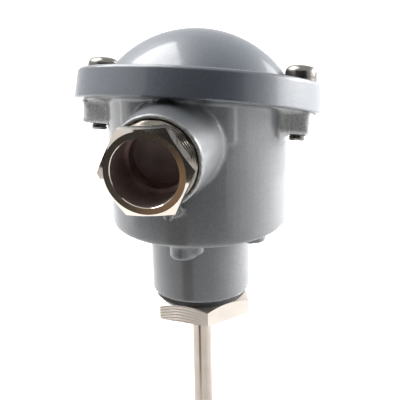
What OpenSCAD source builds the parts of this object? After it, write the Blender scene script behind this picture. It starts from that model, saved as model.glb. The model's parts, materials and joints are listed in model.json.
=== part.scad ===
// Resistance thermometer with a connection head.
// A thin closed sheath holds the sensing element at its tip and ends in a cast
// head, where its wires meet a ceramic terminal block under a tilted domed cover.
// A cable comes in through a gland at the front of the head.
// Z = 0 is the lower face of the hexagon fitting, where the sheath leaves it. The
// gland points along -Y, and the cover screws stand at -X and +X.

/* [Sheath and sensing element] */
// Outer diameter of the sheath
sheath_d = 6; // [4.5:0.5:8]
// Wall of the sheath
sheath_wall = 0.7; // [0.4:0.1:1]
// Step in the sheath's radius, where its shoulder meets the hexagon fitting
sheath_step = 0.2; // [0.2:0.05:0.3]
// Length of the sheath below the hexagon fitting
insert_l = 100; // [50:5:300]
// Thickness of the closed end of the sheath
tip_t = 1.2; // [0.8:0.1:3]
// Diameter of the sensing element
element_d = 3; // [2:0.1:3]
// Length of the sensing element
element_l = 15; // [8:1:25]
// Diameter of each of the inner conductors
conductor_d = 0.5; // [0.3:0.1:0.6]
// Length of the potting that closes the top of the sheath
pot_l = 4.5; // [3:0.5:8]

/* [Hexagon fitting] */
// Width across the flats of the hexagon
hex_af = 28; // [27:0.5:30]
// Turn of the hexagon's front corner from the gland, in degrees
hex_turn = 22; // [0:1:60]
// Thickness of the hexagon
hex_h = 5.8; // [4:0.2:8]
// Diameter of the thread in the neck
neck_thread_d = 24; // [20:1:25]
// Length of the thread above the hexagon
neck_thread_l = 12; // [8:1:15]
// Thickness of the flat seal between the hexagon and the neck
neck_seal_t = 1.5; // [0.8:0.1:2]

/* [Head body] */
// Diameter of the neck at its lower end
neck_d = 30.4; // [30:0.2:34]
// Height of the neck, from the seal to the underside of the floor
neck_h = 22.6; // [20:0.1:30]
// Diameter of the body at its lower end
body_d = 54; // [53:0.2:60]
// Height of the body on its axis, from the underside of the floor to the cover
body_h = 35.8; // [34:0.5:44]
// Draft of the cast walls, in degrees
draft = 0.7; // [0:0.1:1.5]
// Thickness of the body wall
wall = 3; // [2.5:0.1:4]
// Thickness of the floor
floor_t = 3.5; // [2.5:0.1:5]
// Radius of the lower outer edge of the body
edge_r = 1.5; // [1:0.1:3]
// Diameter of the hole in the floor, for the wires
wire_hole_d = 16; // [12:1:18]

/* [Cover] */
// Tilt of the cover away from the gland, in degrees
cover_tilt = 18.8; // [8:0.2:20]
// Distance by which the cover's rim stands out beyond the body
cover_overhang = 10.4; // [10:0.1:12]
// Height of the rim
rim_h = 9.2; // [8.8:0.1:12]
// Thickness of the cover's top and dome
cover_t = 3; // [2:0.1:3.5]
// Thickness of the rim's skirt
skirt_t = 3.5; // [2.5:0.1:3.8]
// Radius of the rim's upper edge
rim_edge_r = 1.2; // [0.6:0.1:2]
// Outer radius of the dome's sphere
dome_r = 33; // [31:0.1:36]
// Height of the dome above the rim
dome_h = 14.7; // [13:0.1:16]
// Radius of the hollow at the foot of the dome
dome_foot_r = 1.5; // [0.8:0.1:2]

/* [Cover seat] */
// Thickness of the body's flange under the cover
flange_t = 3; // [2.5:0.1:4]
// Height of the body's lip above the lower edge of the cover
lip_h = 4; // [3.8:0.1:5]
// Width of the lip
lip_w = 3.3; // [2.8:0.1:3.6]
// Gap between the flange and the skirt around it
skirt_gap = 0.5; // [0.3:0.1:1]
// Gap between parts that are close but don't touch
air_gap = 0.3; // [0.2:0.1:0.6]

/* [Cover screws] */
// Distance of each screw's axis from the outside of the body's lip
screw_from_lip = 3.55; // [3.3:0.05:3.7]
// Diameter of the screw thread
screw_d = 5; // [4:0.5:5]
// Length of the screw that stands out below its lug
screw_out = 1.7; // [0.5:0.1:3]
// Diameter of the pan head
screw_head_d = 9.5; // [8:0.1:10]
// Height of the pan head
screw_head_h = 3.8; // [3:0.1:4.2]
// Thickness of the washer under the head
washer_t = 1.2; // [0.6:0.1:1.6]
// Height of each lug below the cover
lug_h = 6.6; // [5:0.1:9]
// Width of each lug
lug_w = 10.2; // [9:0.1:12]
// Distance of each lug's outer face behind the edge of the cover
lug_inset = 1.8; // [1.2:0.1:2.4]
// Radius of the lugs' lower edges
lug_edge_r = 1.4; // [0.8:0.1:2]

/* [Cable entry] */
// Height of the gland's axis above the underside of the floor
entry_h = 31.9; // [30:0.1:33]
// Diameter of the cast boss at its open end
boss_d = 27; // [26.4:0.1:28]
// Distance of the boss's open end from the axis of the head
boss_reach = 44.4; // [42:0.2:50]
// Distance of the shoulder behind the rubber seal from the axis of the head
shoulder_y = 30; // [29:0.2:32]
// Diameter of the hole from the seal into the chamber
entry_hole_d = 17; // [14:0.5:18]
// Distance of the small boss on the wall below the gland's axis
wall_boss_drop = 19.2; // [18:0.2:21]
// Width of the chamfer at the mouth of the boss
mouth_chamfer = 0.7; // [0.3:0.1:0.8]

/* [Gland] */
// Diameter of the gland nut's thread
gland_thread_d = 24; // [23:0.1:24.2]
// Width across the flats of the gland nut
gland_af = 24; // [24:0.5:26]
// Thickness of the nut's hexagon
gland_hex_t = 4; // [3:0.1:6]
// Length of thread between the hexagon and the boss
gland_exposed = 5.6; // [4:0.1:7]
// Length of thread inside the boss
gland_engaged = 5.9; // [5:0.1:7]
// Bore of the nut
gland_bore_d = 19.3; // [16:0.1:20]
// Bore of the narrower lip at the inner end of the nut
gland_lip_d = 17; // [14:0.1:18]
// Depth of the wide bore
gland_bore_l = 12.5; // [10:0.1:14]
// Diameter of the flat ring on the nut's front face
gland_face_d = 23.1; // [22:0.1:24]
// Turn of the nut's corners from level, in degrees
gland_turn = 5; // [0:1:60]
// Thickness of the slip ring
slip_ring_t = 1.5; // [1:0.1:2]
// Thickness of the dust disc
dust_disc_t = 0.5; // [0.3:0.1:1]
// Bore of the rubber seal
seal_bore_d = 12; // [8:0.5:14]

/* [Terminals] */
// Diameter of the terminal block
block_d = 42; // [41:0.5:44]
// Thickness of the terminal block
block_t = 6; // [5:0.5:8]
// Bore of the terminal block
block_bore_d = 11; // [8:0.5:12]
// Height of the posts under the terminal block
post_h = 5.2; // [3:0.2:7]
// Distance between the block's two fixing screws
fixing_pitch = 33; // [32:0.5:34]
// Diameter of the fixing screws and of the earth screw
fixing_d = 4; // [3:0.5:4]
// Distance of the terminals from the axis
terminal_r = 13; // [12.5:0.1:13.5]
// Length of each terminal clamp, towards the axis
clamp_l = 7.5; // [6:0.5:8]
// Width of each terminal clamp
clamp_w = 6.4; // [5:0.2:6.8]
// Height of each terminal clamp
clamp_h = 8; // [7:0.5:9]
// Diameter of the terminal screws
terminal_screw_d = 3; // [2.5:0.5:3.5]
// Height of the barriers between the terminals
barrier_h = 6.5; // [4:0.5:8]
// Diameter of each lead wire
lead_d = 1.1; // [0.8:0.1:1.2]
// Bend radius of the lead wires
lead_bend_r = 3; // [2:0.5:3.5]

/* [Fits] */
// Radial clearance of threads and of parts that turn or slide
fit_gap = 0.05; // [0.02:0.01:0.1]
// Radial clearance of through holes
hole_gap = 0.25; // [0.1:0.05:0.3]

/* [Hidden] */
$fn = 96;

// Colours
paint = [0.62, 0.64, 0.67];
steel = [0.72, 0.71, 0.68];
nickel = [0.75, 0.72, 0.66];
brass = [0.80, 0.65, 0.35];
rubber = [0.10, 0.10, 0.11];
ceramic = [0.93, 0.92, 0.88];

// Heights
neck_z = hex_h + neck_seal_t;
floor_z = neck_z + neck_h;
chamber_z = floor_z + floor_t;
cover_z = floor_z + body_h;
entry_z = floor_z + entry_h;
block_z = chamber_z + post_h;
block_top = block_z + block_t;

// Radii of the body, drafted from its lower end
neck_r = neck_d / 2;
neck_top_r = neck_r + neck_h * tan(draft);
body_r = body_d / 2;
body_top_z = cover_z + body_r * tan(cover_tilt) + flange_t;
body_top_r = body_r + (body_top_z - floor_z) * tan(draft);
chamber_r = body_r - wall;

// Cover seat, in the tilted frame
cover_r = body_r + cover_overhang;
skirt_r = cover_r - skirt_t;
flange_r = skirt_r - skirt_gap;
lip_r = body_r + 0.5;
gasket_groove_r = lip_r + hole_gap;
screw_x = lip_r + screw_from_lip;
washer_r = screw_head_d / 2 + 0.1;
lug_reach = cover_r - lug_inset;
rib_t = 1.3;
top_z = rim_h - cover_t;
dome_centre = rim_h + dome_h - dome_r;
lug_root = 20;

// Cable entry, measured out from the axis of the head
gland_hex_back = boss_reach + gland_exposed;
gland_front = gland_hex_back + gland_hex_t;
gland_back = boss_reach - gland_engaged;
disc_back = gland_back - slip_ring_t - dust_disc_t;
gland_thread_r = gland_thread_d / 2;

// Sheath
core_r = sheath_d / 2 - sheath_wall - 0.02;
sheath_top = chamber_z + 1.7;
pot_z = sheath_top - pot_l;
element_z = tip_t - insert_l;
ring_r = 0.6 * core_r;

// Terminals
terminal_angles = [30, 150, 210, 330];
lead_z = block_top + 4.5;
clamp_hole_r = lead_d / 2 + 0.9;
earth_r = chamber_r - 3.6;
earth_top = block_top + 4;

// Axes of the sub-parts
module in_cover() {
    translate([0, 0, cover_z]) rotate([-cover_tilt, 0, 0]) children();
}
module in_entry() {
    translate([0, 0, entry_z]) rotate([90, 0, 0]) children();
}
module at_screw(side) {
    in_cover() translate([side * screw_x, 0, 0]) children();
}
module at_fixing(i) {
    rotate(90 + 180 * i) translate([fixing_pitch / 2, 0, 0]) children();
}
module at_terminal(i) {
    rotate(terminal_angles[i]) children();
}

// Points of a round corner, from angle a0 to a1
function arc(x, y, r, a0, a1, n = 8) =
    [for (i = [0:n]) let (a = a0 + (a1 - a0) * i / n) [x + r * cos(a), y + r * sin(a)]];

module ring(r_in, r_out, h) {
    difference() {
        cylinder(r = r_out, h = h);
        translate([0, 0, -1]) cylinder(r = r_in, h = h + 2);
    }
}

// A rectangle on the Y axis, from z = -h up to zero, with its two lower corners round
module round_foot(w, h, r) {
    hull_h = h - r;
    translate([-w / 2, -hull_h]) square([w, hull_h]);
    translate([-w / 2 + r, -h]) square([w - 2 * r, h]);
    for (s = [-1, 1]) translate([s * (w / 2 - r), -hull_h]) circle(r);
}

// Head body -----------------------------------------------------------------

module body_profile() {
    foot_r = 1;
    polygon(concat(
        [[0, neck_z], [neck_r - 0.5, neck_z], [neck_r, neck_z + 0.5]],
        arc(neck_top_r + foot_r, floor_z - foot_r, foot_r, 180, 90),
        arc(body_r - edge_r, floor_z + edge_r, edge_r, -90, 0),
        [[body_top_r, body_top_z], [0, body_top_z]]
    ));
}

module body_shell() {
    intersection() {
        union() {
            rotate_extrude() body_profile();
            entry_pad();
        }
        in_cover() translate([0, 0, 1 - 2 * body_top_z])
            cylinder(r = 2 * cover_r, h = 2 * body_top_z);
    }
}

// The raised field that the side core of the mould leaves above the gland's axis
module entry_pad() {
    pad_w = 34;
    pad_t = 0.3;
    intersection() {
        translate([0, 0, entry_z]) cylinder(
            r1 = body_r + (entry_z - floor_z) * tan(draft) + pad_t,
            r2 = body_top_r + pad_t,
            h = body_top_z - entry_z);
        translate([-pad_w / 2, -cover_r, 0]) cube([pad_w, cover_r, body_top_z + 1]);
    }
}

module lug(side) {
    w = lug_w;
    in_cover() intersection() {
        rotate([90, 0, 90]) translate([0, 0, side > 0 ? lug_root : -lug_reach])
            linear_extrude(lug_reach - lug_root) union() {
                translate([0, -air_gap]) round_foot(w, lug_h - air_gap, lug_edge_r);
                translate([-w / 2, -air_gap - 1]) square([w, flange_t + air_gap + 1]);
            }
        union() {
            rotate([90, 0, 0]) translate([0, 0, -w])
                linear_extrude(2 * w) translate([0, -air_gap])
                    round_foot(2 * lug_reach, lug_h - air_gap, lug_edge_r);
            translate([0, 0, -air_gap - 1])
                cylinder(r = flange_r, h = flange_t + air_gap + 1);
        }
    }
}

module entry_boss() {
    root = chamber_r - 4;
    boss_r = boss_d / 2;
    rim_r = 0.6;
    spread = (boss_reach - root) * tan(2);
    in_entry() rotate_extrude() polygon(concat(
        [[0, root], [boss_r + spread, root]],
        arc(boss_r - rim_r, boss_reach - rim_r, rim_r, 0, 90, 4),
        [[0, boss_reach]]
    ));
}

// Small cast bosses: a stepped one on the wall below the gland, two under the floor
module cast_bosses() {
    root = chamber_r + 1;
    translate([0, 0, entry_z - wall_boss_drop]) rotate([90, 0, 0]) {
        translate([0, 0, root]) cylinder(d = 4.2, h = body_r + 2.2 - root);
        translate([0, 0, root]) cylinder(d = 3.2, h = body_r + 7 - root);
    }
    // Angle, distance inside the body's edge, radius and height of each floor boss
    for (b = [[-89, 7, 4.1, 5], [-80, 7.4, 3, 3.8], [-16, 8.1, 4.1, 3.8]])
        rotate(b[0]) translate([body_r - b[1], 0, floor_z - b[3]]) rotate_extrude()
            polygon(concat(
                [[0, 0]], arc(b[2] - 0.6, 0.6, 0.6, -90, 0, 4),
                [[b[2], b[3] + 1], [0, b[3] + 1]]
            ));
}

module chamber() {
    floor_r = 1.5;
    intersection() {
        rotate_extrude() polygon(concat(
            [[0, chamber_z]],
            arc(chamber_r - floor_r, chamber_z + floor_r, floor_r, -90, 0, 4),
            [[chamber_r, body_top_z + 1], [0, body_top_z + 1]]
        ));
        in_cover() translate([0, 0, -1 - 2 * body_top_z])
            cylinder(r = 2 * cover_r, h = 2 * body_top_z);
    }
    in_cover() translate([0, 0, -6]) cylinder(r = lip_r - lip_w, h = 6 + lip_h + 1);
}

module posts() {
    for (i = [0, 1]) at_fixing(i)
        translate([0, 0, chamber_z - 1]) cylinder(r = 3.8, h = post_h + 1);
    translate([earth_r, 0, chamber_z - 1]) cylinder(r = 3.5, h = earth_top - chamber_z + 1);
    translate([earth_r, -2.5, chamber_z - 1])
        cube([body_r - 1 - earth_r, 5, earth_top - chamber_z + 1]);
}

module head_body() {
    neck_bore_top = neck_z + neck_thread_l + 1;
    color(paint) difference() {
        union() {
            difference() {
                union() {
                    body_shell();
                    in_cover() cylinder(r = flange_r, h = flange_t);
                    in_cover() cylinder(r = lip_r, h = lip_h);
                    for (side = [-1, 1]) lug(side);
                    entry_boss();
                    cast_bosses();
                }
                chamber();
            }
            posts();
        }
        // Neck
        translate([0, 0, neck_z - 1])
            cylinder(d = neck_thread_d + 2 * fit_gap, h = neck_bore_top - neck_z + 1);
        cylinder(d = wire_hole_d, h = chamber_z + 1);
        // Cable entry
        in_entry() {
            cylinder(d = entry_hole_d, h = boss_reach);
            translate([0, 0, shoulder_y])
                cylinder(r = gland_thread_r + fit_gap, h = boss_reach - shoulder_y + 1);
            translate([0, 0, boss_reach - mouth_chamfer]) cylinder(
                r1 = gland_thread_r + fit_gap,
                r2 = gland_thread_r + fit_gap + mouth_chamfer + 0.01,
                h = mouth_chamfer + 0.01);
        }
        // Screw holes
        for (side = [-1, 1]) at_screw(side) translate([0, 0, -lug_h - 1])
            cylinder(d = screw_d + 2 * fit_gap, h = lug_h + flange_t + 2);
        for (i = [0, 1]) at_fixing(i) translate([0, 0, chamber_z + 0.5])
            cylinder(d = fixing_d + 2 * fit_gap, h = post_h + 1);
        translate([earth_r, 0, earth_top - 8])
            cylinder(d = fixing_d + 2 * fit_gap, h = 9);
    }
}

// Cover ---------------------------------------------------------------------

module cover_outside() {
    rim_top_r = cover_r - rim_h * tan(3);
    foot_y = rim_h + dome_foot_r;
    foot_x = sqrt(pow(dome_r + dome_foot_r, 2) - pow(foot_y - dome_centre, 2));
    foot_a = atan2(foot_y - dome_centre, foot_x);
    rotate_extrude() polygon(concat(
        [[0, 0], [cover_r - 0.4, 0], [cover_r, 0.4]],
        arc(rim_top_r - rim_edge_r, rim_h - rim_edge_r, rim_edge_r, 0, 90, 6),
        arc(foot_x, foot_y, dome_foot_r, -90, -180 + foot_a, 6),
        [[0, rim_h]]
    ));
    intersection() {
        translate([0, 0, dome_centre]) sphere(r = dome_r);
        translate([0, 0, top_z]) cylinder(r = cover_r, h = dome_r);
    }
}

module cover_inside() {
    seat_z = flange_t + air_gap;
    difference() {
        union() {
            translate([0, 0, -1]) cylinder(r = skirt_r, h = 1 + seat_z);
            translate([0, 0, -1]) ring(gasket_groove_r + rib_t, skirt_r, top_z + 1);
        }
        for (side = [-1, 1]) translate([side * screw_x, 0, flange_t])
            cylinder(r = screw_head_d / 2 + 0.6, h = rim_h);
    }
    translate([0, 0, -1]) cylinder(r = gasket_groove_r, h = top_z + 1);
    intersection() {
        translate([0, 0, dome_centre]) sphere(r = dome_r - cover_t);
        translate([0, 0, flange_t]) cylinder(r = gasket_groove_r - lip_w, h = dome_r);
    }
}

module cover() {
    color(paint) in_cover() difference() {
        cover_outside();
        cover_inside();
        for (side = [-1, 1]) translate([side * screw_x, 0, 0]) {
            translate([0, 0, -1]) cylinder(d = screw_d + 2 * hole_gap, h = rim_h + 2);
            translate([0, 0, rim_h]) cylinder(r = washer_r + air_gap, h = dome_h);
        }
    }
}

module cover_gasket() {
    color(rubber) in_cover() translate([0, 0, lip_h])
        ring(lip_r - lip_w + hole_gap, lip_r, top_z - lip_h);
}

// Cover screws --------------------------------------------------------------

// A pan head on z = 0 with a cross recess
module pan_head(d, h) {
    crown = 0.45 * h;
    crown_r = (d * d / 4 + crown * crown) / (2 * crown);
    edge_a = asin(d / 2 / crown_r);
    difference() {
        rotate_extrude() polygon(concat(
            [[0, 0], [d / 2 - 0.2, 0], [d / 2, 0.2]],
            arc(0, h - crown_r, crown_r, 90 - edge_a, 90, 8)
        ));
        for (a = [45, 135]) rotate(a) translate([-d * 0.27, -d * 0.06, h - 1.6])
            cube([d * 0.54, d * 0.12, 2]);
    }
}

module cover_screw(side) {
    head_z = rim_h + washer_t;
    tip = lug_h + screw_out;
    color(steel) at_screw(side) {
        translate([0, 0, head_z]) pan_head(screw_head_d, screw_head_h);
        translate([0, 0, 0.5 - tip]) cylinder(d = screw_d, h = tip - 0.5 + head_z + 0.5);
        translate([0, 0, -tip]) cylinder(d1 = screw_d - 1, d2 = screw_d, h = 0.5);
    }
}

module cover_washer(side) {
    color(steel) at_screw(side) translate([0, 0, rim_h])
        ring(screw_d / 2 + fit_gap, washer_r, washer_t);
}

// Cable gland ---------------------------------------------------------------

module gland_nut() {
    corner_r = gland_af / 2 / cos(30);
    face_r = gland_face_d / 2;
    slope = tan(30);
    bore_r = gland_bore_d / 2;
    color(nickel) in_entry() difference() {
        union() {
            intersection() {
                translate([0, 0, gland_hex_back]) rotate(gland_turn)
                    cylinder(r = corner_r, h = gland_hex_t, $fn = 6);
                rotate_extrude() polygon([
                    [0, gland_hex_back], [corner_r - 0.5, gland_hex_back],
                    [corner_r + 1, gland_hex_back + 1.5 * slope],
                    [corner_r + 1, gland_front - (corner_r + 1 - face_r) * slope],
                    [face_r, gland_front], [0, gland_front]
                ]);
            }
            translate([0, 0, gland_back])
                cylinder(r = gland_thread_r, h = gland_hex_back - gland_back + 0.5);
        }
        translate([0, 0, gland_back - 1]) cylinder(d = gland_lip_d, h = gland_front);
        translate([0, 0, gland_front - gland_bore_l]) cylinder(r = bore_r, h = gland_bore_l + 1);
        translate([0, 0, gland_front - 0.4])
            cylinder(r1 = bore_r, r2 = bore_r + 0.41, h = 0.41);
    }
}

module gland_slip_ring() {
    color(brass) in_entry() translate([0, 0, gland_back - slip_ring_t])
        ring(gland_lip_d / 2, gland_thread_r - fit_gap, slip_ring_t);
}

module gland_dust_disc() {
    color(rubber) in_entry() translate([0, 0, disc_back])
        cylinder(r = gland_thread_r - fit_gap, h = dust_disc_t);
}

module gland_seal() {
    seal_l = disc_back - shoulder_y;
    color(rubber) in_entry() translate([0, 0, shoulder_y]) difference() {
        cylinder(r = gland_thread_r - fit_gap, h = seal_l);
        translate([0, 0, -1]) cylinder(d = seal_bore_d, h = seal_l + 2);
        translate([0, 0, seal_l - 1.2])
            cylinder(d1 = seal_bore_d, d2 = seal_bore_d + 2.42, h = 1.21);
    }
}

// Hexagon fitting -----------------------------------------------------------

module neck_seal() {
    color(rubber) translate([0, 0, hex_h])
        ring(neck_thread_d / 2 + fit_gap, neck_r - 1.2, neck_seal_t);
}

module hex_fitting() {
    corner_r = hex_af / 2 / cos(30);
    face_r = hex_af / 2 - 0.3;
    slope = tan(30);
    rise = (corner_r + 1 - face_r) * slope;
    color(steel) difference() {
        union() {
            intersection() {
                rotate(hex_turn - 90) cylinder(r = corner_r, h = hex_h, $fn = 6);
                rotate_extrude() polygon([
                    [0, 0], [corner_r - 0.6, 0], [corner_r + 0.4, 0.6],
                    [corner_r + 1, 1], [corner_r + 1, hex_h - rise], [face_r, hex_h], [0, hex_h]
                ]);
            }
            cylinder(d = neck_thread_d, h = neck_z + neck_thread_l);
        }
        translate([0, 0, -1])
            cylinder(r = sheath_d / 2 - sheath_step + fit_gap, h = neck_z + neck_thread_l + 2);
    }
}

// Sheath --------------------------------------------------------------------

module sheath() {
    r = sheath_d / 2;
    tip_r = 1.2;
    color(steel) difference() {
        rotate_extrude() polygon(concat(
            [[0, -insert_l]],
            arc(r - tip_r, tip_r - insert_l, tip_r, -90, 0, 6),
            [[r, 0], [r - sheath_step, 0], [r - sheath_step, sheath_top], [0, sheath_top]]
        ));
        translate([0, 0, element_z])
            cylinder(r = r - sheath_wall, h = sheath_top - element_z + 1);
    }
}

module at_conductors() {
    for (i = [0:3]) at_terminal(i) translate([ring_r, 0, 0]) children();
}

module insulating_core() {
    color(ceramic) difference() {
        translate([0, 0, element_z]) cylinder(r = core_r, h = pot_z - element_z);
        translate([0, 0, element_z - 1])
            cylinder(d = element_d + 2 * fit_gap, h = element_l + 1 + fit_gap);
        at_conductors() translate([0, 0, element_z + 1])
            cylinder(d = conductor_d + 2 * fit_gap, h = pot_z - element_z);
    }
}

module inner_conductors() {
    z0 = element_z + element_l + fit_gap;
    color(nickel) at_conductors() translate([0, 0, z0])
        cylinder(d = conductor_d, h = pot_z - z0);
}

module sensing_element() {
    color(ceramic) translate([0, 0, element_z]) cylinder(d = element_d, h = element_l);
}

module pot_seal() {
    color([0.25, 0.22, 0.20]) difference() {
        translate([0, 0, pot_z]) cylinder(r = core_r, h = pot_l);
        at_conductors() translate([0, 0, pot_z + 1])
            cylinder(d = lead_d + 2 * fit_gap, h = pot_l);
    }
}

// Each lead rises from the potting, bends outwards and ends in its clamp
module lead_wire(i) {
    run = terminal_r - ring_r - lead_bend_r;
    color([0.85, 0.85, 0.82]) at_terminal(i) translate([ring_r, 0, 0]) {
        translate([0, 0, pot_z + 1])
            cylinder(d = lead_d, h = lead_z - lead_bend_r - pot_z - 1);
        translate([lead_bend_r, 0, lead_z - lead_bend_r]) rotate([90, 0, 180])
            rotate_extrude(angle = 90) translate([lead_bend_r, 0]) circle(d = lead_d);
        translate([lead_bend_r, 0, lead_z]) rotate([0, 90, 0]) cylinder(d = lead_d, h = run);
    }
}

// Terminal block ------------------------------------------------------------

module terminal_block() {
    barrier_in = block_bore_d / 2 + 2.5;
    barrier_out = earth_r - 4.3;
    color(ceramic) difference() {
        union() {
            translate([0, 0, block_z]) cylinder(d = block_d, h = block_t);
            for (a = [0:60:300]) rotate(a) translate([barrier_in, -1, block_top - 1])
                cube([barrier_out - barrier_in, 2, barrier_h + 1]);
        }
        translate([0, 0, block_z - 1]) cylinder(d = block_bore_d, h = block_t + 2);
        for (i = [0, 1]) at_fixing(i) translate([0, 0, block_z - 1])
            cylinder(d = fixing_d + 2 * hole_gap, h = block_t + 2);
        translate([earth_r, 0, block_z - 1]) cylinder(r = 3.5 + air_gap + 0.2, h = block_t + 2);
        translate([earth_r, -4, block_z - 1]) cube([block_d, 8, block_t + 2]);
    }
}

// A slotted cheese head on z = 0
module cheese_head(d, h) {
    difference() {
        cylinder(d = d, h = h);
        translate([-d, -0.4, h / 2]) cube([2 * d, 0.8, h]);
    }
}

module block_screw(i) {
    head_z = block_top + 0.8;
    color(steel) at_fixing(i) {
        translate([0, 0, head_z]) cheese_head(1.75 * fixing_d, 0.65 * fixing_d);
        translate([0, 0, chamber_z + 1])
            cylinder(d = fixing_d, h = head_z - chamber_z - 0.5);
    }
}

module block_washer(i) {
    color(steel) at_fixing(i) translate([0, 0, block_top])
        ring(fixing_d / 2 + fit_gap, fixing_d + 0.4, 0.8);
}

module earth_screw() {
    color(brass) translate([earth_r, 0, earth_top]) {
        cheese_head(1.7 * fixing_d, 0.6 * fixing_d);
        translate([0, 0, -7]) cylinder(d = fixing_d, h = 7.5);
    }
}

module terminal_clamp(i) {
    color(brass) at_terminal(i) translate([terminal_r, 0, block_top]) difference() {
        translate([-clamp_l / 2, -clamp_w / 2, 0]) cube([clamp_l, clamp_w, clamp_h]);
        translate([-clamp_l, 0, lead_z - block_top]) rotate([0, 90, 0])
            cylinder(r = clamp_hole_r, h = 2 * clamp_l);
        translate([0, 0, lead_z - block_top])
            cylinder(d = terminal_screw_d + 2 * fit_gap, h = clamp_h);
    }
}

module terminal_screw(i) {
    tip = lead_z + lead_d / 2 + fit_gap;
    top = block_top + clamp_h;
    color(steel) at_terminal(i) translate([terminal_r, 0, 0]) {
        translate([0, 0, top]) cheese_head(1.8 * terminal_screw_d, 0.65 * terminal_screw_d);
        translate([0, 0, tip]) cylinder(d = terminal_screw_d, h = top - tip + 0.5);
    }
}

head_body();
cover();
cover_gasket();
cover_screw(-1);  // cover_screw_left
cover_screw(1);  // cover_screw_right
cover_washer(-1);  // cover_washer_left
cover_washer(1);  // cover_washer_right
gland_nut();
gland_slip_ring();
gland_dust_disc();
gland_seal();
neck_seal();
hex_fitting();
sheath();
insulating_core();
inner_conductors();
sensing_element();
pot_seal();
terminal_block();
earth_screw();
block_screw(0);  // block_screw_1
block_screw(1);  // block_screw_2
block_washer(0);  // block_washer_1
block_washer(1);  // block_washer_2
terminal_clamp(0);  // terminal_clamp_1
terminal_clamp(1);  // terminal_clamp_2
terminal_clamp(2);  // terminal_clamp_3
terminal_clamp(3);  // terminal_clamp_4
terminal_screw(0);  // terminal_screw_1
terminal_screw(1);  // terminal_screw_2
terminal_screw(2);  // terminal_screw_3
terminal_screw(3);  // terminal_screw_4
lead_wire(0);  // lead_wire_1
lead_wire(1);  // lead_wire_2
lead_wire(2);  // lead_wire_3
lead_wire(3);  // lead_wire_4
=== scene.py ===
# %% [markdown]
# # A resistance thermometer with a connection head
# A thin steel sheath carries a sensing element at its tip. It hangs from a hexagon
# fitting under a painted cast head, where its wires meet a ceramic terminal block.
# A round domed cover closes the head at a slant, and a plated gland takes the cable.
# The CAD model is loaded first, as a fixed frame, and every look is built round it.

# %% Load the frame
import json
import math

import bpy
import bmesh
import numpy as np
from mathutils import Matrix, Quaternion, Vector

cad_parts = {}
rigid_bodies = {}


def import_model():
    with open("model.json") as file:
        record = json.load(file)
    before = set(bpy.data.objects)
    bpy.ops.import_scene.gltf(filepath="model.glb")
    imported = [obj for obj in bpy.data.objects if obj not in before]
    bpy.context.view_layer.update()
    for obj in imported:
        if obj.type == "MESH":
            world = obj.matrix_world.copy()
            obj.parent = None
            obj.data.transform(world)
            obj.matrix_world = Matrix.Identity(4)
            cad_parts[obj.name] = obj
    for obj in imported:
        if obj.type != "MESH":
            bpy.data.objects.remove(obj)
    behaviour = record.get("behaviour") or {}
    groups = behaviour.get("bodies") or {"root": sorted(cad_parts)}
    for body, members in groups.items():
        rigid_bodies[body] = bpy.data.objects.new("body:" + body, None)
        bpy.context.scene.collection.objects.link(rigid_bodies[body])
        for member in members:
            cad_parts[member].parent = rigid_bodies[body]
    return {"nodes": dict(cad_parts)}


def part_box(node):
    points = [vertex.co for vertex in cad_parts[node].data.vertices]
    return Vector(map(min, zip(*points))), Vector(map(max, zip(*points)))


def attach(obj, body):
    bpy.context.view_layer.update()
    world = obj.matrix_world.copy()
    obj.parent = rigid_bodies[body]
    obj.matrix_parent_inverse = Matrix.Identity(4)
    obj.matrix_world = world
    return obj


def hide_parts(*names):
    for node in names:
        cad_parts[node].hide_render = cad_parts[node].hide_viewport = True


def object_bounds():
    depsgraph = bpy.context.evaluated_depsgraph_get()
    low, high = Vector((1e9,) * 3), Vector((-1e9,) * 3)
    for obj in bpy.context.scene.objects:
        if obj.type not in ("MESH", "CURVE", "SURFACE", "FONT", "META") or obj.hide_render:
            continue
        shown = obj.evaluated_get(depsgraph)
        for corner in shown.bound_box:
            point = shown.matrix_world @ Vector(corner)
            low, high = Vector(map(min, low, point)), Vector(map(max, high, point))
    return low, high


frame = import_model()
nodes = frame["nodes"]
cad_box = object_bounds()
MM = 0.001
print(len(nodes), "CAD nodes, size in mm:", [round(v / MM, 1) for v in cad_box[1] - cad_box[0]])

# %% [markdown]
# ## The camera
# A long lens, a little above the head, looks down on the probe from the right of the
# gland. The camera also leans by about a degree, so the probe stands a hair off the
# vertical in the frame. Its place is worked out from these angles and a distance, which
# are easier to correct than three coordinates.

# %% Place the camera
CAMERA_TURN = math.radians(15.58)    # round from the gland's side
CAMERA_RISE = math.radians(19.26)    # above the horizon
CAMERA_LEAN = math.radians(-1.17)    # about the line of sight
CAMERA_REACH, CAMERA_SHIFT = 372.87 * MM, 0.15 * MM
AIM = Vector((0, 0, 35.94 * MM))
SENSOR, LENS = 36, 107.5995          # in mm, as the camera takes them


def direction(turn, rise):
    """The way out from the probe, at a turn from the gland's side and a rise in radians."""
    return Vector((math.sin(turn) * math.cos(rise), -math.cos(turn) * math.cos(rise),
                   math.sin(rise)))


back = direction(CAMERA_TURN, CAMERA_RISE)
level = Vector((math.cos(CAMERA_TURN), math.sin(CAMERA_TURN), 0))
upward = back.cross(level)
side = level * math.cos(CAMERA_LEAN) + upward * math.sin(CAMERA_LEAN)
top = upward * math.cos(CAMERA_LEAN) - level * math.sin(CAMERA_LEAN)

camera = bpy.data.objects.new("camera", bpy.data.cameras.new("camera"))
bpy.context.scene.collection.objects.link(camera)
camera.data.sensor_width = SENSOR
camera.data.lens = LENS
camera.data.clip_start = 10 * MM
stand = Matrix.Translation(AIM + level * CAMERA_SHIFT + back * CAMERA_REACH)
camera.matrix_world = stand @ Matrix((side, top, back)).transposed().to_4x4()
bpy.context.scene.camera = camera
print("camera at", [round(v, 3) for v in camera.location], "lens", round(camera.data.lens, 1))

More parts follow.
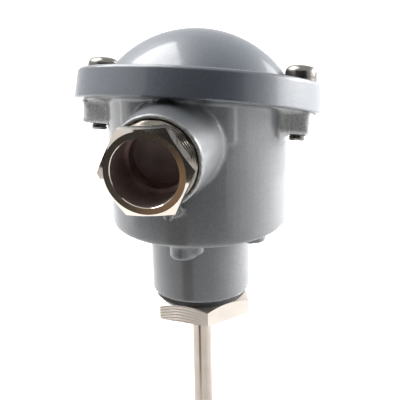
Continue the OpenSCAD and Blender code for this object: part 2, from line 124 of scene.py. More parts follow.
# %% [markdown]
# ## Node helpers
# Finishes and rules are both small trees of nodes, and to write a tree by hand is long.
# One class adds nodes and joins them. A second, built on it, makes a finish: its colour,
# roughness and relief come from noise on the object's own coordinates, so no piece needs
# an unwrapped surface. Colours are the linear values that the shader works in.

# %% Helpers for trees of nodes
COLOR_INPUTS, COLOR_OUTPUT = (6, 7), 2    # the colour sockets of a mix node


def link(name, mesh):
    """Shows a mesh in the scene, as an object of that name."""
    thing = bpy.data.objects.new(name, mesh)
    bpy.context.scene.collection.objects.link(thing)
    return thing


class Tree:
    """A node tree under construction. A value is a number or a socket of another node."""

    def __init__(self, tree):
        self.tree = tree

    def plug(self, value, socket):
        if isinstance(value, bpy.types.NodeSocket):
            self.tree.links.new(value, socket)
        else:
            socket.default_value = value

    def add(self, kind, settings=(), **values):
        """Adds a node with its settings and gives each named input its value."""
        node = self.tree.nodes.new(kind)
        for name, value in dict(settings).items():
            setattr(node, name, value)
        for name, value in values.items():
            self.plug(value, node.inputs[name.replace("_", " ")])
        return node

    def math(self, operation, *values):
        node = self.add("ShaderNodeMath", {"operation": operation})
        for value, socket in zip(values, node.inputs):
            self.plug(value, socket)
        return node.outputs[0]

    def vector(self, operation, *values, **named):
        node = self.add("ShaderNodeVectorMath", {"operation": operation}, **named)
        for value, socket in zip(values, node.inputs):
            self.plug(value, socket)
        return node.outputs["Value" if operation == "LENGTH" else "Vector"]

    def split(self, vector):
        return self.add("ShaderNodeSeparateXYZ", Vector=vector).outputs

    def span(self, field, low, high, start=0.0, end=1.0):
        """Maps a field to low..high as it goes from start to end."""
        node = self.add("ShaderNodeMapRange", Value=field, From_Min=start, From_Max=end,
                        To_Min=low, To_Max=high)
        return node.outputs["Result"]


class Finish(Tree):
    """A material under construction, with its shader ready to be fed."""

    def __init__(self, name, color, metallic=0.0, roughness=0.5, **sockets):
        self.material = bpy.data.materials.new(name)
        self.material.use_nodes = True
        super().__init__(self.material.node_tree)
        self.shader = self.tree.nodes["Principled BSDF"]
        self.feed(Base_Color=(*color, 1), Metallic=metallic, Roughness=roughness, **sockets)
        self.place = self.add("ShaderNodeTexCoord").outputs["Object"]

    def feed(self, **values):
        for name, value in values.items():
            self.plug(value, self.shader.inputs[name.replace("_", " ")])
        return self.material

    def noise(self, scale, detail, stretch=None):
        """A noise field on Object coordinates; stretch scales it along X, Y and Z."""
        where = self.place
        if stretch:
            where = self.add("ShaderNodeMapping", Vector=where, Scale=stretch).outputs["Vector"]
        return self.add("ShaderNodeTexNoise", Vector=where, Scale=scale,
                        Detail=detail).outputs["Fac"]

    def blend(self, field, first, second):
        """Goes from first to second with the field. Each is a colour or a socket."""
        node = self.add("ShaderNodeMix", {"data_type": "RGBA"}, Factor=field)
        for value, index in zip((first, second), COLOR_INPUTS):
            self.plug((*value, 1) if isinstance(value, tuple) else value, node.inputs[index])
        return node.outputs[COLOR_OUTPUT]

    def bump(self, field, height, strength, after=None):
        """The relief of a field, laid over the relief it comes after."""
        node = self.add("ShaderNodeBump", Height=field, Distance=height, Strength=strength)
        if after is not None:
            self.plug(after, node.inputs["Normal"])
        return node.outputs["Normal"]


print("two classes for trees of nodes: Tree and Finish")

# %% [markdown]
# ## The paint on the castings
# Head and cover are die-cast aluminium under a hard glossy paint, a cool mid grey. Real
# paint is never one even colour: it lies in a very slight orange peel, and its pigment
# drifts. A clear coat gives the sharp reflection over the softer one of the pigment. On
# the screw lugs the paint hardly covers the grain of the casting, and the end of the
# entry boss is faced after painting, so it shows the cut metal, lightened as painted light
# against the shade that the nut casts on it.

# %% Make the paint
BARE_FROM, BARE_OVER = 26.4 * MM, 1.2 * MM      # paint thins out to the sides
BARE_LOW, BARE_HIGH = 56.8 * MM, 58 * MM        # and upwards, so on the lugs alone
FACED_AT, FACED_OVER = -44.1 * MM, 0.3 * MM     # in front of this the boss is cut metal


def make_paint(name, dark, light, on_head=False):
    """The grey paint. On the head it goes over to the rough casting of the lugs, and to cut metal
    on the faced end of the boss, lightened there as painted light against the nut's shade."""
    f = Finish(name, dark, roughness=0.48, Coat_Weight=0.55, Coat_Roughness=0.12,
               Coat_IOR=1.5, Specular_IOR_Level=0.9)
    cloud = f.span(f.noise(60, 3), 0, 1, 0.3, 0.7)
    flake = f.span(f.noise(1900, 3), 0.8, 1.2, 0.3, 0.7)
    tone = f.vector("SCALE", f.blend(cloud, dark, light), Scale=flake)
    rough = f.span(f.noise(300, 3), 0.42, 0.54)
    peel = f.bump(f.noise(420, 2), 0.04 * MM, 0.5)
    fine = f.bump(f.noise(2600, 2), 0.01 * MM, 0.35, peel)
    if on_head:
        x, y, z = f.split(f.place)
        aside = f.span(f.math("ABSOLUTE", x), 0, 1, BARE_FROM, BARE_FROM + BARE_OVER)
        bare = f.math("MULTIPLY", aside, f.span(z, 0, 1, BARE_LOW, BARE_HIGH))
        grain = f.blend(f.span(f.noise(1400, 4), 0, 1, 0.35, 0.65), (0.34, 0.34, 0.34),
                        (0.58, 0.575, 0.57))
        # painted light: the cut metal of the boss end is lightened against the shade of the nut
        cut = f.blend(f.span(f.noise(700, 3), 0, 1, 0.35, 0.65), (0.26, 0.265, 0.265),
                      (0.34, 0.345, 0.34))
        faced = f.span(y, 1, 0, FACED_AT, FACED_AT + FACED_OVER)
        tone = f.blend(faced, f.blend(bare, tone, grain), cut)
        rough = f.blend(bare, rough, f.span(f.noise(900, 2), 0.5, 0.65))
        f.feed(Coat_Weight=f.span(bare, 0.55, 0.1))
    return f.feed(Base_Color=tone, Roughness=rough, Normal=fine, Coat_Normal=peel)


# painted shade: the cover gets a darker, bluer copy of the head's paint, though both castings
# wear the same paint
cover_paint_with_painted_shade = make_paint("grey_paint", (0.043, 0.054, 0.071), (0.057, 0.070, 0.091))
head_paint = make_paint("grey_paint_on_head", (0.066, 0.071, 0.077), (0.085, 0.091, 0.098),
                        on_head=True)
print("paints:", cover_paint_with_painted_shade.name, head_paint.name)

# %% [markdown]
# ## Metals
# The sheath is drawn stainless steel with a fine grain round it. The hexagon is cut from
# bar: a cone turned over its upper edge has left its lines across the flats. The gland
# nut is brass under bright nickel, smooth and warm, with a duller thread whose root is
# darkened as painted shade, and a bore of darker brass that is partly painted shade. The
# cover screws are stainless steel darkened as painted shade, the terminals plain brass.
# A metal shows nothing but reflections, tinted by its base colour, so each one needs only
# that colour, a roughness and a relief far too fine to model.

# %% Make the metals
CONE = math.tan(math.radians(30))              # slope of the cone that cuts the corners
LINE_STEP, LINE_DRIFT = 0.95 * MM, 0.4 * MM    # from line to line, and how far one strays
LINES_FADE_FROM, LINES_FADE_OVER = -1 * MM, 5 * MM         # along X, where the lines grow faint
RELIEF = 0.02 * MM                             # height of a fine grain


def make_hexagon_steel():
    """Drawn steel whose flats keep the lines of the tool that cut the cone above them. A
    line joins the points of equal height plus radius times the cone's slope."""
    f = Finish("hexagon_steel", (0.48, 0.45, 0.42), metallic=1.0, roughness=0.28)
    x, _, z = f.split(f.place)
    radius = f.vector("LENGTH", f.vector("MULTIPLY", f.place, (1, 1, 0)))
    level = f.math("MULTIPLY_ADD", radius, CONE, z)
    drift = f.math("MULTIPLY_ADD", f.noise(260, 2), LINE_DRIFT, level)
    wave = f.math("SINE", f.math("MULTIPLY", drift, 2 * math.pi / LINE_STEP))
    line = f.span(wave, 0, 1, 0.35, 0.95)
    # the tool lines are strongest on the -X side and fade towards +X
    line_strength = f.math("MULTIPLY", line, f.span(x, 0.75, 0.12, LINES_FADE_FROM, LINES_FADE_FROM + LINES_FADE_OVER))
    mottle = f.noise(140, 4)
    steel = f.blend(f.span(mottle, 0, 1, 0.35, 0.7), (0.56, 0.515, 0.475), (0.47, 0.425, 0.385))
    scored = f.blend(mottle, (0.17, 0.13, 0.10), (0.24, 0.19, 0.15))
    drawn = f.bump(f.noise(900, 3, (0.04, 0.04, 3)), RELIEF, 0.5)
    return f.feed(Base_Color=f.blend(line_strength, steel, scored), Roughness=f.span(mottle, 0.22, 0.36),
                  Normal=f.bump(line, 1.5 * RELIEF, 0.4, drawn))


def make_metal(name, color, roughness, grain=0.2, stretch=None, stain=None):
    """A metal with a mottled sheen, a fine grain and, if given, a stain in the same places."""
    f = Finish(name, color, metallic=1.0, roughness=roughness)
    mottle = f.noise(140, 4)
    f.feed(Roughness=f.span(mottle, roughness * 0.75, roughness * 1.3))
    if stain:
        f.feed(Base_Color=f.blend(f.span(mottle, 0, 1, 0.35, 0.7), color, stain))
    return f.feed(Normal=f.bump(f.noise(900, 3, stretch), RELIEF, grain))


hexagon_steel = make_hexagon_steel()
sheath_steel = make_metal("sheath_steel", (0.37, 0.33, 0.29), 0.22, 0.35, (0.05, 0.05, 2.5),
                          stain=(0.33, 0.285, 0.24))
# painted shade: the steel is darkened to stand for the dim place under the lugs and the dark room
# the heads reflect
screw_steel = make_metal("screw_steel", (0.21, 0.20, 0.185), 0.27, stain=(0.15, 0.14, 0.13))
nickel = make_metal("bright_nickel", (0.66, 0.61, 0.55), 0.1, 0.08, stain=(0.60, 0.53, 0.46))
# painted shade: bored brass, darkened below the plating to stand for the dim inside of the bore
bore_brass_with_painted_shade = make_metal("bored_brass", (0.56, 0.46, 0.43), 0.5, 0.3, stain=(0.40, 0.32, 0.30))
# painted shade: the thread's root faces are darkened to stand for the shade in its grooves
thread_root = make_metal("thread_root", (0.09, 0.08, 0.065), 0.4)
thread_metal = make_metal("thread_metal", (0.25, 0.23, 0.20), 0.26, stain=(0.17, 0.15, 0.13))
brass = make_metal("plain_brass", (0.72, 0.50, 0.22), 0.28, stain=(0.62, 0.42, 0.18))
tinned = make_metal("tinned_copper", (0.66, 0.64, 0.60), 0.3)
print("materials so far:", len(bpy.data.materials))

# %% [markdown]
# ## Rubber, ceramic and plastic
# Gaskets and the cable seal are black rubber with a dull bloom. The terminal block and
# the insulators are fired ceramic, off white and faintly glazed. One recipe serves them
# all, as they differ only in colour, in roughness and in how strong their grain is.

# %% Make the dull finishes
def make_dull(name, color, dark, roughness, grain=0.3, **sockets):
    f = Finish(name, color, roughness=roughness, **sockets)
    cloud = f.span(f.noise(180, 4), 0, 1, 0.3, 0.7)
    return f.feed(Base_Color=f.blend(cloud, color, dark),
                  Normal=f.bump(f.noise(1500, 3), 1.5 * RELIEF, grain),
                  Roughness=f.span(f.noise(400, 3), roughness * 0.85, roughness * 1.15))


rubber = make_dull("black_rubber", (0.018, 0.018, 0.019), (0.011, 0.011, 0.012), 0.6)
ceramic = make_dull("fired_ceramic", (0.78, 0.75, 0.68), (0.70, 0.66, 0.58), 0.35, 0.15,
                    Coat_Weight=0.3, Coat_Roughness=0.2)
disc_plastic = make_dull("disc_plastic", (0.30, 0.235, 0.225), (0.20, 0.16, 0.15), 0.5)
potting = make_dull("brown_potting", (0.05, 0.035, 0.025), (0.03, 0.022, 0.016), 0.4)
print("materials in all:", len(bpy.data.materials))

# %% [markdown]
# ## Which piece has which finish
# Most pieces show their own CAD mesh, so all they need is a material. A table gives each
# finish the first letters of its nodes' names, and where two entries fit, the longer one
# counts.

# %% Give each CAD node its finish
FINISHES = {
    head_paint: ("head_body",),
    cover_paint_with_painted_shade: ("cover",),
    hexagon_steel: ("hex_fitting",),
    sheath_steel: ("sheath",),
    screw_steel: ("cover_screw", "cover_washer", "block_", "terminal_screw"),
    nickel: ("gland_nut",),
    bore_brass_with_painted_shade: ("gland_slip_ring",),
    brass: ("terminal_clamp", "earth_screw"),
    tinned: ("lead_wire", "inner_conductors"),
    rubber: ("cover_gasket", "gland_seal", "neck_seal"),
    ceramic: ("terminal_block", "insulating_core", "sensing_element"),
    disc_plastic: ("gland_dust_disc",),
    potting: ("pot_seal",),
}
finish_of = {start: finish for finish, starts in FINISHES.items() for start in starts}
for name, node in nodes.items():
    start = max((s for s in finish_of if name.startswith(s)), key=len)
    node.data.materials.clear()
    node.data.materials.append(finish_of[start])
print("finishes on", len(nodes), "nodes")

# %% [markdown]
# ## A thread cut by rule
# A thread is a helix, so it is cut by a rule and not drawn: every point of the shank
# moves inwards by a depth that depends on its height and on its angle, which together
# give its phase within one pitch. Geometry Nodes does this on any turned shape that
# stands on its own Z axis. The same group serves the gland nut and the cover screws,
# with another pitch and depth, and a point farther in than the shank is left alone.

# %% Helpers for Geometry Nodes, and the thread cutter
FLANK = (0.14, 0.88)    # where the slope from crest to root lies, in half pitches
ON_SHANK = 0.02 * MM    # how near the shank's surface a point has to be


class Rule(Tree):
    """A Geometry Nodes group under construction, with named inputs."""

    def __init__(self, name, inputs):
        super().__init__(bpy.data.node_groups.new(name, "GeometryNodeTree"))
        face = self.tree.interface
        face.new_socket("Geometry", in_out="INPUT", socket_type="NodeSocketGeometry")
        for label, (kind, value) in inputs.items():
            socket = face.new_socket(label, in_out="INPUT", socket_type="NodeSocket" + kind)
            if value is not None:
                socket.default_value = value
        face.new_socket("Geometry", in_out="OUTPUT", socket_type="NodeSocketGeometry")
        self.source = self.tree.nodes.new("NodeGroupInput")
        self.sink = self.tree.nodes.new("NodeGroupOutput")

    def close(self, geometry, material):
        """Ends the group in Realize Instances and Set Material."""
        real = self.add("GeometryNodeRealizeInstances", Geometry=geometry)
        done = self.add("GeometryNodeSetMaterial", Geometry=real.outputs[0], Material=material)
        self.plug(done.outputs[0], self.sink.inputs[0])
        return self.tree


def thread_group():
    g = Rule("cut_thread", {
        "Major radius": ("Float", 12 * MM), "Pitch": ("Float", 1.5 * MM),
        "Depth": ("Float", 0.9 * MM), "Low end": ("Float", 0.0), "High end": ("Float", 10 * MM),
        "Finish": ("Material", None)})
    value = g.source.outputs
    x, y, z = g.split(g.add("GeometryNodeInputPosition").outputs[0])
    angle = g.math("DIVIDE", g.math("ARCTAN2", y, x), 2 * math.pi)
    turns = g.math("SUBTRACT", g.math("DIVIDE", z, value["Pitch"]), angle)
    # the size of the wave is 0 at a crest and 1 at a root, and FLANK makes both of them flat
    wave = g.math("SUBTRACT", g.math("MULTIPLY", g.math("FRACT", turns), 2), 1)
    groove = g.math("MULTIPLY", g.span(g.math("ABSOLUTE", wave), 0, 1, *FLANK), value["Depth"])
    # the groove runs out over half a pitch at each end of the shank
    runout = g.math("MULTIPLY", value["Pitch"], 0.5)
    from_low = g.math("DIVIDE", g.math("SUBTRACT", z, value["Low end"]), runout)
    from_high = g.math("DIVIDE", g.math("SUBTRACT", value["High end"], z), runout)
    fade = g.math("MINIMUM", g.math("MINIMUM", from_low, from_high), 1.0)
    cut = g.math("MULTIPLY", groove, g.math("MAXIMUM", fade, 0.0))
    radial = g.add("ShaderNodeCombineXYZ", X=x, Y=y).outputs[0]
    inwards = g.math("MULTIPLY", cut, -1.0)
    shift = g.vector("SCALE", g.vector("NORMALIZE", radial), Scale=inwards)
    edge = g.math("SUBTRACT", value["Major radius"], ON_SHANK)
    on_shank = g.math("GREATER_THAN", g.vector("LENGTH", radial), edge)
    moved = g.add("GeometryNodeSetPosition", Geometry=value["Geometry"], Selection=on_shank,
                  Offset=shift)
    return g.close(moved.outputs[0], value["Finish"])


def applied(thing):
    """The mesh of an object with its modifiers carried out. The object itself goes."""
    result = thing.evaluated_get(bpy.context.evaluated_depsgraph_get())
    mesh = bpy.data.meshes.new_from_object(result)
    bpy.data.objects.remove(thing)
    return mesh


def worked(mesh, group, **values):
    """The mesh after a Geometry Nodes group, with its named inputs set."""
    thing = link("work", mesh)
    modifier = thing.modifiers.new("rule", "NODES")
    modifier.node_group = group
    named = {item.name: item.identifier for item in group.interface.items_tree
             if item.in_out == "INPUT"}
    for name, value in values.items():
        modifier[named[name.replace("_", " ")]] = value
    thing.update_tag()
    return applied(thing)


cut_thread = thread_group()
print("thread cutter:", len(cut_thread.nodes), "nodes")

# %% [markdown]
# ## The gland nut
# The nut is turned from hexagon bar: a wide bore with a bright chamfer, a flat ring on
# its front, corners cut back by a cone of 30 degrees, and below the hexagon the thread
# of 24 x 1.5 that screws into the boss. One closed loop of rings describes all of it:
# out over the face, down the hexagon, along the thread and back up through the bore.
# It is turned about Z, as the thread cutter asks, and then laid down along the boss.

# %% Turn the gland nut
NUT_AF, NUT_TURN = 24 * MM, math.radians(5)      # across the flats, and round its axis
NUT_HEX_T, NUT_FACE_R = 4 * MM, 11.55 * MM       # thickness and flat front of the hexagon
NUT_MAJOR_R, NUT_PITCH, NUT_DEPTH = 12 * MM, 1.5 * MM, 0.85 * MM       # the thread
NUT_BORE_R, NUT_BORE_L, NUT_LIP_R = 9.65 * MM, 12.5 * MM, 8.5 * MM     # the bore and its end
NUT_MOUTH, NUT_BACK_CUT = 0.15 * MM, 0.5 * MM    # chamfer of the bore, corners at the back
NUT_AROUND, NUT_PER_PITCH = 288, 14              # points round the nut, rings in each pitch
NEAR = 0.01 * MM                                 # a face this near a surface belongs to it


def hexagon(across, turn):
    """Radius of a hexagon at an angle; both angles in radians."""
    def radius(angle):
        return across / 2 / math.cos((angle - turn) % (math.pi / 3) - math.pi / 6)
    return radius


def ring(radius, height):
    return lambda angle: (radius, height)


def turned(name, stations, around, loop=True):
    """A closed shape from rings. A station gives (radius, height) at an angle. The rings
    either form a loop, as on a piece with a bore, or end in a flat cap at both ends."""
    angles = [2 * math.pi * i / around for i in range(around)]
    points, faces = [], []
    for station in stations:
        for a in angles:
            r, h = station(a)
            points.append((r * math.cos(a), r * math.sin(a), h))
    rows = len(stations)
    for k in range(rows if loop else rows - 1):
        for i in range(around):
            j, n = (i + 1) % around, (k + 1) % rows
            faces.append((k * around + i, k * around + j, n * around + j, n * around + i))
    if not loop:
        for k in (0, rows - 1):
            faces += [(k * around + i, k * around + (i + 1) % around, len(points))
                      for i in range(around)]
            points.append((0, 0, stations[k](0)[1]))
    mesh = bpy.data.meshes.new(name)
    mesh.from_pydata(points, [], faces)
    return mesh


def tidy_up(mesh, sharp=32):
    """Outward normals, smooth faces and sharp edges beyond the given angle in degrees."""
    work = bmesh.new()
    work.from_mesh(mesh)
    bmesh.ops.recalc_face_normals(work, faces=work.faces)
    work.to_mesh(mesh)
    work.free()
    mesh.shade_smooth()
    mesh.set_sharp_from_angle(angle=math.radians(sharp))
    return mesh


def finish_nut(mesh, axis_z, back):
    """Material slots by place: the plated outside, the bore, and the thread's two tones. The
    bore and the thread's root are darkened as painted shade.
    """
    bore, crest, root = 1, 2, 3
    for finish in (bore_brass_with_painted_shade, thread_metal, thread_root):
        mesh.materials.append(finish)
    for face in mesh.polygons:
        reach = math.hypot(face.center.x, face.center.z - axis_z)
        if reach < NUT_BORE_R + NEAR:
            face.material_index = bore
        elif reach < NUT_MAJOR_R + NEAR and -face.center.y < back:
            # the root faces take the painted shade, the crest the duller thread metal
            face.material_index = root if reach < NUT_MAJOR_R - 0.4 * NUT_DEPTH else crest


def make_nut():
    low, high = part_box("gland_nut")
    axis_z = (low.z + high.z) / 2
    front, tail = -low.y, -high.y
    back = front - NUT_HEX_T
    hex_r = hexagon(NUT_AF, NUT_TURN)
    cut_r = NUT_AF / 2 / math.cos(math.pi / 6) - NUT_BACK_CUT

    def front_edge(a):
        return hex_r(a), front - (hex_r(a) - NUT_FACE_R) * CONE

    def back_edge(a):
        return hex_r(a), back + max(0, hex_r(a) - cut_r) * CONE

    count = round((back - tail) / NUT_PITCH * NUT_PER_PITCH)
    shank = [ring(NUT_MAJOR_R, back - (back - tail) * i / count) for i in range(count + 1)]
    stations = ([ring(NUT_BORE_R + NUT_MOUTH, front), ring(NUT_FACE_R, front),
                 front_edge, back_edge]
                + shank
                + [ring(NUT_MAJOR_R - NUT_DEPTH, tail), ring(NUT_LIP_R, tail),
                   ring(NUT_LIP_R, front - NUT_BORE_L), ring(NUT_BORE_R, front - NUT_BORE_L),
                   ring(NUT_BORE_R, front - NUT_MOUTH)])
    mesh = turned("gland_nut_look", stations, NUT_AROUND)
    mesh = worked(mesh, cut_thread, Major_radius=NUT_MAJOR_R, Pitch=NUT_PITCH,
                  Depth=NUT_DEPTH, Low_end=tail, High_end=back, Finish=nickel)
    mesh.transform(Matrix.Translation((0, 0, axis_z)) @ Matrix.Rotation(math.radians(90), 4, "X"))
    nut = link("gland_nut_look", tidy_up(mesh, 22))
    finish_nut(mesh, axis_z, back)
    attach(nut, "gland_nut")
    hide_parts("gland_nut")
    return nut


nut = make_nut()
print("gland nut:", len(nut.data.polygons), "faces")

# %% [markdown]
# ## The cover screws
# Two pan heads hold the cover. A pan head is pressed, so its side rises almost straight
# and then rolls over into a flat crown with a cross recess. The shank carries a rolled
# thread of 5 x 0.8, whose last turns show below the lug. The same rule as on the nut cuts
# it, with a finer pitch. The recess is taken out with a cutter of two crossed bars.

# %% Turn the cover screws
SCREW_R, SCREW_PITCH, SCREW_DEPTH = 2.5 * MM, 0.8 * MM, 0.42 * MM    # the thread
SCREW_TIP, TIP_CUT, THREAD_TOP = -8.3 * MM, 0.5 * MM, 2 * MM         # heights over the lug
HEAD_R, HEAD_LOW, HEAD_TOP, HEAD_EDGE = 4.75 * MM, 10.42 * MM, 14.2 * MM, 0.15 * MM
ROLL_R, ROLL_STEPS, CROWN = 2.1 * MM, range(0, 81, 10), 0.35 * MM    # steps in degrees
MIDDLE_R, MIDDLE_DROP = 1.2 * MM, 0.05 * MM
BAR = (5.1 * MM, 1.1 * MM, 3.2 * MM)             # one bar of the recess cutter
SCREW_AROUND, SCREW_PER_PITCH = 72, 12           # points round the screw, rings in each pitch
TILT, COVER_Z = math.radians(18.8), 65.7 * MM    # the frame of the cover
in_cover = Matrix.Translation((0, 0, COVER_Z)) @ Matrix.Rotation(-TILT, 4, "X")


def screw_stations(low_end):
    """The rings of a screw in the cover's frame, from its tip up to the flat middle."""
    count = round((THREAD_TOP - low_end) / SCREW_PITCH * SCREW_PER_PITCH)
    shank = [ring(SCREW_R, low_end + (THREAD_TOP - low_end) * i / count)
             for i in range(count + 1)]
    roll_z = HEAD_TOP - CROWN - ROLL_R
    roll = [ring(HEAD_R - ROLL_R * (1 - math.cos(a)), roll_z + ROLL_R * math.sin(a))
            for a in map(math.radians, ROLL_STEPS)]
    return ([ring(SCREW_R - TIP_CUT, SCREW_TIP)] + shank
            + [ring(SCREW_R, HEAD_LOW), ring(HEAD_R - HEAD_EDGE, HEAD_LOW),
               ring(HEAD_R, HEAD_LOW + HEAD_EDGE)]
            + roll + [ring(MIDDLE_R, HEAD_TOP - MIDDLE_DROP)])


def make_cutter():
    """Two crossed bars that stand in the top of the head."""
    bars = bpy.data.meshes.new("bars")
    work = bmesh.new()
    for turn in (45, 135):
        place = Matrix.Translation((0, 0, HEAD_TOP)) @ Matrix.Rotation(math.radians(turn), 4, "Z")
        bmesh.ops.create_cube(work, size=1, matrix=place @ Matrix.Diagonal((*BAR, 1)))
    work.to_mesh(bars)
    work.free()
    return link("cutter", bars)


def make_screw(side):
    low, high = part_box("cover_screw_" + side)
    low_end = SCREW_TIP + TIP_CUT
    mesh = turned("cover_screw_look_" + side, screw_stations(low_end), SCREW_AROUND, loop=False)
    mesh = worked(mesh, cut_thread, Major_radius=SCREW_R, Pitch=SCREW_PITCH,
                  Depth=SCREW_DEPTH, Low_end=low_end, High_end=THREAD_TOP, Finish=screw_steel)
    body, cutter = link("body", tidy_up(mesh)), make_cutter()
    recess = body.modifiers.new("recess", "BOOLEAN")
    recess.object, recess.operation, recess.use_self = cutter, "DIFFERENCE", True
    mesh = applied(body)
    bpy.data.objects.remove(cutter)
    mesh.transform(Matrix.Translation(((low.x + high.x) / 2, 0, 0)) @ in_cover)
    mesh.materials.clear()
    mesh.materials.append(screw_steel)
    screw = link("cover_screw_look_" + side, tidy_up(mesh))
    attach(screw, side + "_screw")
    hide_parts("cover_screw_" + side)
    return screw


for side_name in ("left", "right"):
    screw = make_screw(side_name)
    print(side_name, "cover screw:", len(screw.data.polygons), "faces")

# %% [markdown]
# ## The cast head
# A casting has no sharp edge. Each corner of the pattern is rounded so that the metal
# flows and the piece leaves the mould, and each place where the boss, the lugs and the
# small bosses meet the body is filled in a hollow curve. So the bare solid is turned into
# an even skin of small squares, which a few passes of smoothing then round, inside and
# outside alike. The lugs have larger corners than that, so their points are drawn in to
# a quarter circle. Their tops are brought up to the cover before the skin is made, and
# are afterwards pressed flat below its rim and round inside its recess.

# %% Cast the head
LUG_HALF_X, LUG_HALF_Y = 35.6 * MM, 5.1 * MM    # how far the lugs reach, in the cover's frame
TOP_CORNER, LOW_CORNER = 1.3 * MM, 2.6 * MM     # their corner radius, which grows downwards
ROUND_BELOW = 0.5 * MM                          # above this the corners stay as they are
LUG_FROM = 28 * MM                              # the lugs' tops are worked from here outwards
CAD_TOP, RAISED_TOP = -0.3 * MM, 1.5 * MM       # the lugs' tops, as packed and before the skin
TOP_NEAR = 0.1 * MM                             # a point this near the top belongs to it
VOXEL, SMOOTHING, PASSES = 0.62 * MM, 0.5, 2    # the skin's squares, and how it is smoothed
SHELF_Z, SHELF_FROM = -0.04 * MM, 33.85 * MM    # flat below the rim, from the recess outwards
WALL_R, WALL_FROM = 33.83 * MM, 33.2 * MM       # round inside the recess


def to_cover(points):
    """World points in the tilted frame of the cover; the turn back is to_world."""
    c, s = math.cos(TILT), math.sin(TILT)
    x, y, z = points[:, 0], points[:, 1], points[:, 2] - COVER_Z
    return np.stack((x, y * c - z * s, y * s + z * c), axis=1)


def to_world(points):
    c, s = math.cos(TILT), math.sin(TILT)
    x, y, z = points.T
    return np.stack((x, y * c + z * s, z * c - y * s + COVER_Z), axis=1)


def read_points(mesh):
    points = np.empty(len(mesh.vertices) * 3)
    mesh.vertices.foreach_get("co", points)
    return points.reshape(-1, 3)


def write_points(mesh, points):
    mesh.vertices.foreach_set("co", points.ravel())
    mesh.update()


def skinned(mesh):
    """The mesh under an even, smoothed skin. It is made in the tilted frame of the cover,
    so the squares lie along the lugs and the flange."""
    local = to_cover(read_points(mesh))
    at_top = np.abs(local[:, 2] - CAD_TOP) < TOP_NEAR
    local[at_top & (np.abs(local[:, 0]) > LUG_FROM), 2] = RAISED_TOP
    write_points(mesh, local)
    thing = link("work", mesh)
    skin = thing.modifiers.new("skin", "REMESH")
    skin.mode, skin.voxel_size, skin.use_smooth_shade = "VOXEL", VOXEL, True
    soften = thing.modifiers.new("soften", "SMOOTH")
    soften.factor, soften.iterations = SMOOTHING, PASSES
    return applied(thing)


def round_lugs(local):
    """Draws the corners of the lugs in to a quarter circle, seen from above."""
    radius = np.clip(TOP_CORNER - local[:, 2], TOP_CORNER, LOW_CORNER)
    over_x = np.abs(local[:, 0]) - (LUG_HALF_X - radius)
    over_y = np.abs(local[:, 1]) - (LUG_HALF_Y - radius)
    out = np.hypot(over_x, over_y)
    corner = (over_x > 0) & (over_y > 0) & (out > radius) & (local[:, 2] < ROUND_BELOW)
    pull = np.ones(len(local))
    pull[corner] = radius[corner] / out[corner]
    local[:, 0] -= np.sign(local[:, 0]) * over_x * (1 - pull)
    local[:, 1] -= np.sign(local[:, 1]) * over_y * (1 - pull)


def fit_lugs(local):
    """Presses the lugs' tops flat below the rim of the cover and round in its recess."""
    reach = np.hypot(local[:, 0], local[:, 1])
    upper = (np.abs(local[:, 0]) > LUG_FROM) & (local[:, 2] > SHELF_Z)
    shelf = upper & (reach > SHELF_FROM)
    wall = upper & (reach > WALL_FROM) & ~shelf
    local[shelf, 2] = SHELF_Z
    local[wall, :2] *= (WALL_R / reach[wall])[:, None]


def make_casting():
    mesh = skinned(nodes["head_body"].data.copy())
    local = read_points(mesh)
    round_lugs(local)
    fit_lugs(local)
    write_points(mesh, to_world(local))
    mesh.materials.clear()
    mesh.materials.append(head_paint)
    mesh.shade_smooth()
    mesh.set_sharp_from_angle(angle=math.radians(50))
    head = link("head_casting", mesh)
    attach(head, "head")
    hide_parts("head_body")
    return head


head_casting = make_casting()
print("cast head:", len(head_casting.data.polygons), "faces")

# %% [markdown]
# ## Floor and cards
# The probe hangs over a plain white floor. The cards are what a studio holds up to a
# shiny piece: only reflections see them. Two dark ones in front give the rim and the
# plated parts their deep tones. Four lie on the table, one of them dark, one pale and
# two brown, and a bright one stands behind on the right. Each is a strip of a cylinder
# or a ring round the probe, so that an angle, a reach and a height place it.

# %% Build the floor and the cards
FLOOR_HALF, FLOOR_GAP, CARD_STEPS = 6.0, 4 * MM, 24


def make_floor():
    """A white floor that fades out to the white of the room where it is seen."""
    z = cad_box[0].z - FLOOR_GAP
    mesh = bpy.data.meshes.new("floor")
    mesh.from_pydata([(x * FLOOR_HALF, y * FLOOR_HALF, z)
                      for x, y in ((-1, -1), (1, -1), (1, 1), (-1, 1))], [], [(0, 1, 2, 3)])
    f = Finish("white_floor", (0.7, 0.7, 0.7), roughness=0.7, Specular_IOR_Level=0.1)
    rays = f.add("ShaderNodeLightPath").outputs
    seen = f.math("MAXIMUM", rays["Is Camera Ray"], rays["Is Glossy Ray"])
    glow = f.span(f.vector("LENGTH", f.place), 0.35, 1.0, 0.12, 0.7)
    f.feed(Emission_Color=(1, 1, 1, 1), Emission_Strength=f.math("MULTIPLY", glow, seen))
    mesh.materials.append(f.material)
    return link("floor", mesh)


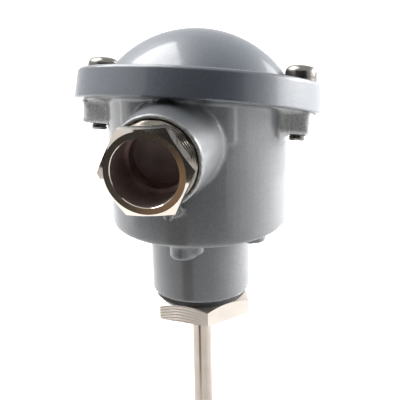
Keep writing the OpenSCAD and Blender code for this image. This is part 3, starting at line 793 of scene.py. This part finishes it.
def make_card(name, turns, reaches, heights, low_color, high_color, strength=1.0):
    """A curved card round the probe, for glossy rays alone. It spans the given turns in
    degrees, and runs from the first reach and height to the second."""
    angles = [CAMERA_TURN + math.radians(turns[0] + (turns[1] - turns[0]) * i / CARD_STEPS)
              for i in range(CARD_STEPS + 1)]
    points = [(r * math.sin(a), -r * math.cos(a), z) for r, z in zip(reaches, heights)
              for a in angles]
    row = CARD_STEPS + 1
    mesh = bpy.data.meshes.new(name)
    mesh.from_pydata(points, [], [(i, i + 1, i + row + 1, i + row) for i in range(CARD_STEPS)])
    f = Finish(name, (0, 0, 0), roughness=1.0, Specular_IOR_Level=0.0)
    if heights[0] == heights[1]:
        rise = f.span(f.vector("LENGTH", f.place), 0, 1, *reaches)
    else:
        rise = f.span(f.split(f.place)["Z"], 0, 1, *heights)
    f.feed(Emission_Color=f.blend(rise, low_color, high_color), Emission_Strength=strength)
    mesh.materials.append(f.material)
    card = link(name, mesh)
    for kind in ("camera", "diffuse", "transmission", "shadow", "volume_scatter"):
        setattr(card, "visible_" + kind, False)
    return card


# name, turns, reaches and heights in metres, then the colours at either end
make_floor()
make_card("front_card", (-94, 44), (0.62, 0.62), (-0.1, 0.12), (0.055, 0.052, 0.048),
              (0.04, 0.039, 0.037))
make_card("upper_card", (-52, 44), (0.62, 0.62), (0.12, 0.62), (0.035, 0.034, 0.032),
              (0.03, 0.03, 0.03))
make_card("table_card", (-86, 36), (0.36, 0.62), (-0.1, -0.1), (0.10, 0.09, 0.08),
              (0.055, 0.052, 0.048))
make_card("pale_card", (-94, -86), (0.36, 0.62), (-0.1, -0.1), (0.75, 0.75, 0.75),
              (0.75, 0.75, 0.75))
make_card("brown_card", (-32.3, -17), (0.40, 0.57), (-0.098, -0.098), (0.20, 0.155, 0.12),
              (0.34, 0.22, 0.13))
make_card("near_brown_card", (-44, -18), (0.14, 0.40), (-0.099, -0.099), (0.24, 0.16, 0.11),
              (0.24, 0.18, 0.13))
make_card("right_card", (72, 152), (0.45, 0.45), (-0.1, 0.1), (1, 1, 1), (1, 1, 1), 2.0)
cards = [thing.name for thing in bpy.data.objects if thing.name.endswith("_card")]
print("floor and", len(cards), "cards:", *cards)

# %% [markdown]
# ## Lamps and room
# The key lamp is a soft panel high on the left and behind, so the dome and every upper
# face are light while the faces towards the camera stay deep. Lamps at both sides and a
# low one on the right draw the bright edges, and two of these stay out of reflections.
# The room is white to the camera and in reflections, but gives next to no light, so that
# the lamps alone shape the piece.

# %% Hang the lamps and light the room
LAMP_AIM = Vector((0, 0, 50 * MM))
ROOM_LIGHT = 0.03


def lamp(name, turn, rise, reach, width, height, radiance, lean=0.0, reflected=True):
    """A soft rectangle facing the head. The turn is from the camera's side and the lean
    about the lamp's own axis, in degrees."""
    out = direction(CAMERA_TURN + math.radians(turn), math.radians(rise))
    light = bpy.data.objects.new(name, bpy.data.lights.new(name, "AREA"))
    light.data.shape = "RECTANGLE"
    light.data.size, light.data.size_y = width, height
    light.data.energy = radiance * math.pi * width * height
    light.location = LAMP_AIM + out * reach
    light.rotation_mode = "QUATERNION"
    about = Quaternion((0, 0, 1), math.radians(lean))
    light.rotation_quaternion = out.to_track_quat("Z", "Y") @ about
    light.visible_glossy = reflected
    bpy.context.scene.collection.objects.link(light)


def make_room():
    world = bpy.data.worlds.new("room")
    bpy.context.scene.world = world
    world.use_nodes = True
    room = Tree(world.node_tree)
    rays = room.add("ShaderNodeLightPath").outputs
    seen = room.math("MAXIMUM", rays["Is Camera Ray"], rays["Is Glossy Ray"])
    seen = room.math("MAXIMUM", seen, rays["Is Transmission Ray"])
    light = room.tree.nodes["Background"].inputs
    room.plug(room.span(seen, ROOM_LIGHT, 1.0), light["Strength"])
    room.plug((1, 1, 1, 1), light["Color"])


# name, turn, rise, then reach, width and height in metres, and radiance
lamp("key_lamp", -118, 51, 0.8, 0.8, 0.7, 8.2, lean=35)
lamp("right_lamp", 112, 7, 0.8, 1.1, 0.56, 3.4)
lamp("side_lamp", 110, 10, 0.7, 0.32, 0.26, 29.0)
lamp("low_lamp", 80, -11, 0.6, 0.4, 0.09, 9.0, reflected=False)
lamp("left_lamp", -95, 8, 0.7, 0.4, 0.5, 2.4, reflected=False)
make_room()
bpy.context.scene.view_settings.view_transform = "Standard"
print("lamps:", *(light.name for light in bpy.data.lights))
